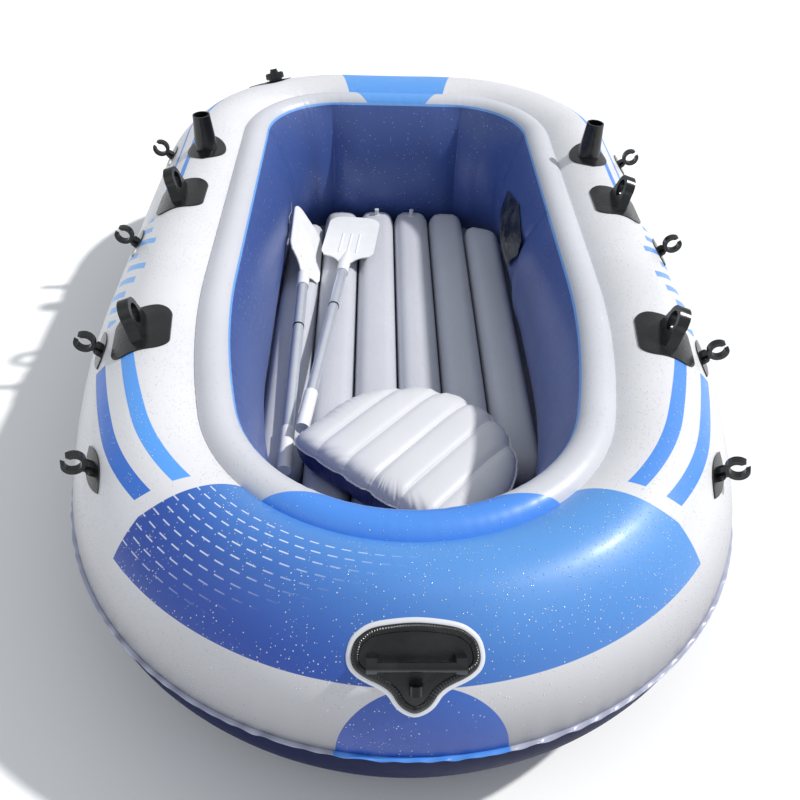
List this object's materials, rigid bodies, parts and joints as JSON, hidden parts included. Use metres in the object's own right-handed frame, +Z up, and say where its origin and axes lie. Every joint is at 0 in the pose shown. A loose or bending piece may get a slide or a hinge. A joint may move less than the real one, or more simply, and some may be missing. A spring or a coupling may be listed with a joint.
{
  "type": "inflatable boat",
  "caption": "Open inflatable rowing boat with a rounded bow, channelled air floor, loose seat cushion, moulded rowlocks and take-down oars.",
  "frame": {"origin": "under the middle of the hull, on the plane it stands on", "axes": "+Z up, -Y towards the bow, +Y towards the stern, +X to port"},
  "size_m": [1.42, 2.3898, 0.5742],
  "materials": {
    "pvc_white": "soft coated fabric, satin",
    "pvc_navy": "soft coated fabric, satin",
    "pvc_blue": "soft coated fabric, satin",
    "pvc_clear": "clear film",
    "moulded_black": "moulded, satin",
    "pouch_black": "smooth film",
    "valve_clear": "clear moulded",
    "oar_tube": "drawn tube, satin",
    "oar_plastic": "moulded, satin"
  },
  "bodies": {
    "hull": {"hull_top_skin": "pvc_white", "hull_bottom_skin": "pvc_navy", "ring_top_skin": "pvc_white", "inner_wall_skin": "pvc_blue", "chamber_web": "pvc_white", "seam_flange": "pvc_white", "bottom_sheet": "pvc_navy", "floor_mat": "pvc_white", "rowlock_aft_star": "moulded_black", "rowlock_fore_star": "moulded_black", "rowlock_aft_port": "moulded_black", "rowlock_fore_port": "moulded_black", "rod_holder_star": "moulded_black", "rod_holder_port": "moulded_black", "clip_star_1": "moulded_black", "clip_star_2": "moulded_black", "clip_star_3": "moulded_black", "clip_star_4": "moulded_black", "clip_port_1": "moulded_black", "clip_port_2": "moulded_black", "clip_port_3": "moulded_black", "clip_port_4": "moulded_black", "bow_patch": "moulded_black", "bow_handle": "moulded_black", "tow_eye": "moulded_black", "valve_base": "moulded_black", "floor_valve_star": "valve_clear", "floor_valve_port": "valve_clear", "repair_film": "pvc_clear", "wall_pouch": "pouch_black"},
    "oar_star_top": {"oar_star_grip": "oar_plastic", "oar_star_upper": "oar_tube", "oar_star_ferrule": "moulded_black"},
    "oar_star_end": {"oar_star_lower": "oar_tube", "oar_star_blade": "oar_plastic"},
    "oar_port_top": {"oar_port_grip": "oar_plastic", "oar_port_upper": "oar_tube", "oar_port_ferrule": "moulded_black"},
    "oar_port_end": {"oar_port_lower": "oar_tube", "oar_port_blade": "oar_plastic"},
    "cushion": {"cushion_top_skin": "pvc_white", "cushion_bottom_skin": "pvc_navy", "cushion_webs": "pvc_white", "cushion_valve": "valve_clear"},
    "cushion_stopper": {"cushion_plug": "valve_clear"},
    "floor_stopper_star": {"floor_plug_star": "valve_clear"},
    "floor_stopper_port": {"floor_plug_port": "valve_clear"},
    "collar": {"valve_collar": "moulded_black"},
    "cap": {"valve_cap": "moulded_black"}
  },
  "joints": [
    {"name": "oar_star_lift", "type": "slide", "parent": "hull", "child": "oar_star_top", "axis": [0, 0, 1], "range_m": [0, 0.45]},
    {"name": "oar_star_part", "type": "slide", "parent": "oar_star_top", "child": "oar_star_end", "axis": [-0.0037, 0.9994, 0.0336], "range_m": [0, 0.036]},
    {"name": "oar_port_lift", "type": "slide", "parent": "hull", "child": "oar_port_top", "axis": [0, 0, 1], "range_m": [0, 0.45]},
    {"name": "oar_port_part", "type": "slide", "parent": "oar_port_top", "child": "oar_port_end", "axis": [0.0967, 0.9946, -0.0372], "range_m": [0, 0.036]},
    {"name": "cushion_lift", "type": "slide", "parent": "hull", "child": "cushion", "axis": [0, 0, 1], "range_m": [0, 0.45]},
    {"name": "cushion_plug_pull", "type": "slide", "parent": "cushion", "child": "cushion_stopper", "axis": [0.6428, 0.766, 0], "range_m": [0, 0.02]},
    {"name": "floor_plug_star_pull", "type": "slide", "parent": "hull", "child": "floor_stopper_star", "axis": [0, 0, 1], "range_m": [0, 0.02]},
    {"name": "floor_plug_port_pull", "type": "slide", "parent": "hull", "child": "floor_stopper_port", "axis": [0, 0, 1], "range_m": [0, 0.02]},
    {"name": "collar_turn", "type": "hinge", "parent": "hull", "child": "collar", "pos_m": [-0.38226, 0.98509, 0.47173], "axis": [-0.2215, 0.3411, 0.9135], "range_deg": [0, 360]},
    {"name": "cap_pull", "type": "slide", "parent": "collar", "child": "cap", "axis": [-0.2215, 0.3411, 0.9135], "range_m": [0, 0.02]}
  ]
}
